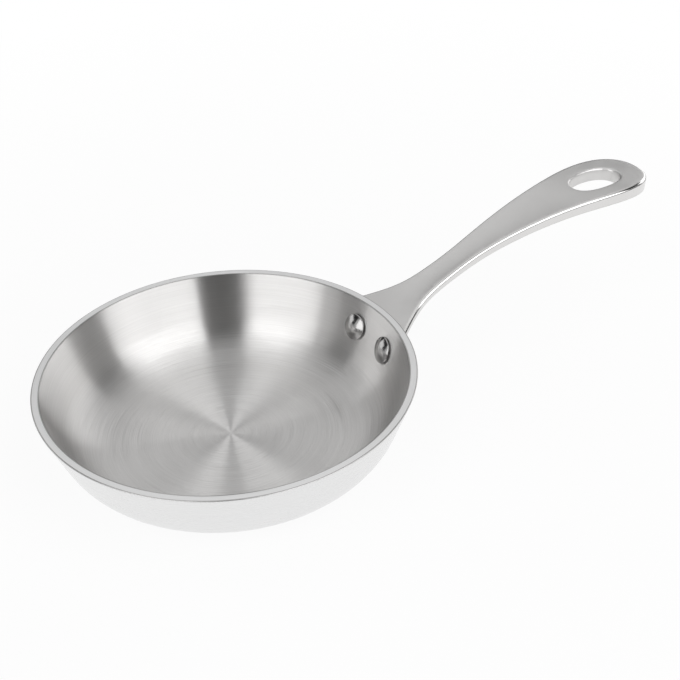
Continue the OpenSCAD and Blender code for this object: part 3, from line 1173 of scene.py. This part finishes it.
def table_white():
    material, tree, surface = empty_material("white table")
    matt = add_node(tree, "ShaderNodeBsdfDiffuse", {"Color": TABLE_WHITE})
    glow = add_node(tree, "ShaderNodeEmission", {"Strength": 1})
    from_middle = combine_vectors(tree, "LENGTH", own_place(tree))
    glowing = ramp_between(tree, from_middle, TABLE_FADE_R, TABLE_R, TABLE_GLOW, 1)
    share = calculate(tree, "MULTIPLY", seen_directly(tree), glowing)
    mix = add_node(tree, "ShaderNodeMixShader", {0: share, 1: matt.outputs[0], 2: glow.outputs[0]})
    connect(tree, mix.outputs[0], surface)
    return material


def make_table():
    shape = bmesh.new()
    bmesh.ops.create_circle(shape, cap_ends=True, segments=TABLE_STEPS, radius=TABLE_R)
    return object_from(shape, "table", table_white())


table = make_table()
print("the table is", round(2 * TABLE_R / MM), "mm across")

# %% [markdown]
# The room is a pale wall behind the pan and dark everywhere else. A picture of a real studio could light
# the pan, but one formula is enough and reads no file: the direction of a ray is compared with one
# direction, high behind the pan. Only the camera itself sees plain white.

# %% World
ROOM_DARK, ROOM_PALE = 0.01, 0.78
PALE_ROUND, PALE_ABOVE = math.radians(180), math.radians(60)
PALE_FROM, PALE_TO = 0.7, 0.9
camera_azimuth = math.atan2(CAMERA_AT.y, CAMERA_AT.x)


def towards(azimuth, elevation):
    level = math.cos(elevation)
    return (level * math.cos(azimuth), level * math.sin(azimuth), math.sin(elevation))


def build_room():
    world = bpy.data.worlds.new("studio")
    bpy.context.scene.world = world
    world.use_nodes = True
    tree = world.node_tree
    ray = tree.nodes.new("ShaderNodeTexCoord").outputs["Generated"]
    pale_wall = towards(camera_azimuth + PALE_ROUND, PALE_ABOVE)
    light = ramp_between(tree, combine_vectors(tree, "DOT_PRODUCT", ray, pale_wall), PALE_FROM, PALE_TO,
                         ROOM_DARK, ROOM_PALE, interpolation_type="SMOOTHSTEP")
    camera_sees = tree.nodes.new("ShaderNodeLightPath").outputs["Is Camera Ray"]
    connect(tree, calculate(tree, "MAXIMUM", light, camera_sees), tree.nodes["Background"].inputs["Color"])


build_room()
print("the camera stands at", round(math.degrees(camera_azimuth), 1), "degrees round the pan")

# %% [markdown]
# Two tall softboxes stand left and right of the camera. The narrow dark gap between them is what the dark
# band on the far wall and the dark ray on the floor of the pan reflect. The left one fades out towards that
# gap, which softens one border of the band. Two low white cards behind the pan brighten its side walls.
# Weaker cards beside the softboxes let them end softly and show as the pale line along the edge of the
# handle, and a wide soft panel hangs overhead. Each could be placed by hand, but it is given by the angles
# that it fills, as seen from the pan and counted from the camera, because those are what a reflection
# shows.

# %% Helpers for soft light
LIGHT_DISTANCE = 1.2


def soft_light(name, width, height, strength):
    data = bpy.data.lights.new(name, "AREA")
    data.shape = "RECTANGLE"
    data.size, data.size_y = width, height
    data.energy = strength * math.pi * width * height
    lamp = bpy.data.objects.new(name, data)
    bpy.context.scene.collection.objects.link(lamp)
    lamp.visible_camera = False
    print(name, "is", round(width, 2), "by", round(height, 2), "m")
    return lamp


def stand_up(name, left, right, bottom, top, strength):
    turn = Matrix.Rotation(camera_azimuth + math.radians((left + right) / 2), 4, "Z")
    width = 2 * LIGHT_DISTANCE * math.tan(math.radians(right - left) / 2)
    low, high = (LIGHT_DISTANCE * math.tan(math.radians(angle)) for angle in (bottom, top))
    lamp = soft_light(name, width, high - low, strength)
    face_pan = Matrix.Rotation(QUARTER, 4, "Z") @ Matrix.Rotation(QUARTER, 4, "X")
    lamp.matrix_world = turn @ Matrix.Translation((LIGHT_DISTANCE, 0, (low + high) / 2)) @ face_pan
    return lamp


def fade_towards_right(lamp, share):
    lamp.data.use_nodes = True
    tree = lamp.data.node_tree
    place = axes_of(tree, tree.nodes.new("ShaderNodeNewGeometry").outputs["Parametric"])["X"]
    fading = ramp_between(tree, place, 1 - share, 1, 1, 0, interpolation_type="SMOOTHSTEP")
    connect(tree, fading, tree.nodes["Emission"].inputs["Strength"])


# %% Softboxes, cards and overhead panel
FADING_SHARE = 0.25
OVERHEAD_WIDTH, OVERHEAD_DEPTH, OVERHEAD_STRENGTH = 2, 0.8, 0.17

# the left, right, lower and upper end of each in degrees, and its strength
STANDING = {
    "right softbox": (12, 76.5, 9, 65, 2.1),
    "left softbox": (-70, -15, 9, 65, 2.1),
    "right card": (104, 150, 0, 27, 1.65),
    "left card": (-135, -103, 0, 27, 1.3),
    "right low card": (77, 104, 0, 20, 0.35),
    "right grey card": (80, 95, 40, 65, 0.8),
    "left low card": (-103, -84, 0, 12, 0.6),
    "left grey card": (-84, -70, 5, 50, 0.7),
}
lamps = {name: stand_up(name, *place) for name, place in STANDING.items()}
fade_towards_right(lamps["left softbox"], FADING_SHARE)
overhead = soft_light("overhead panel", OVERHEAD_DEPTH, OVERHEAD_WIDTH, OVERHEAD_STRENGTH)
overhead.matrix_world = Matrix.Rotation(camera_azimuth, 4, "Z") @ Matrix.Translation((0, 0, LIGHT_DISTANCE))

# %% [markdown]
# The view transform is Standard, so that white stays white.

bpy.context.scene.view_settings.view_transform = "Standard"
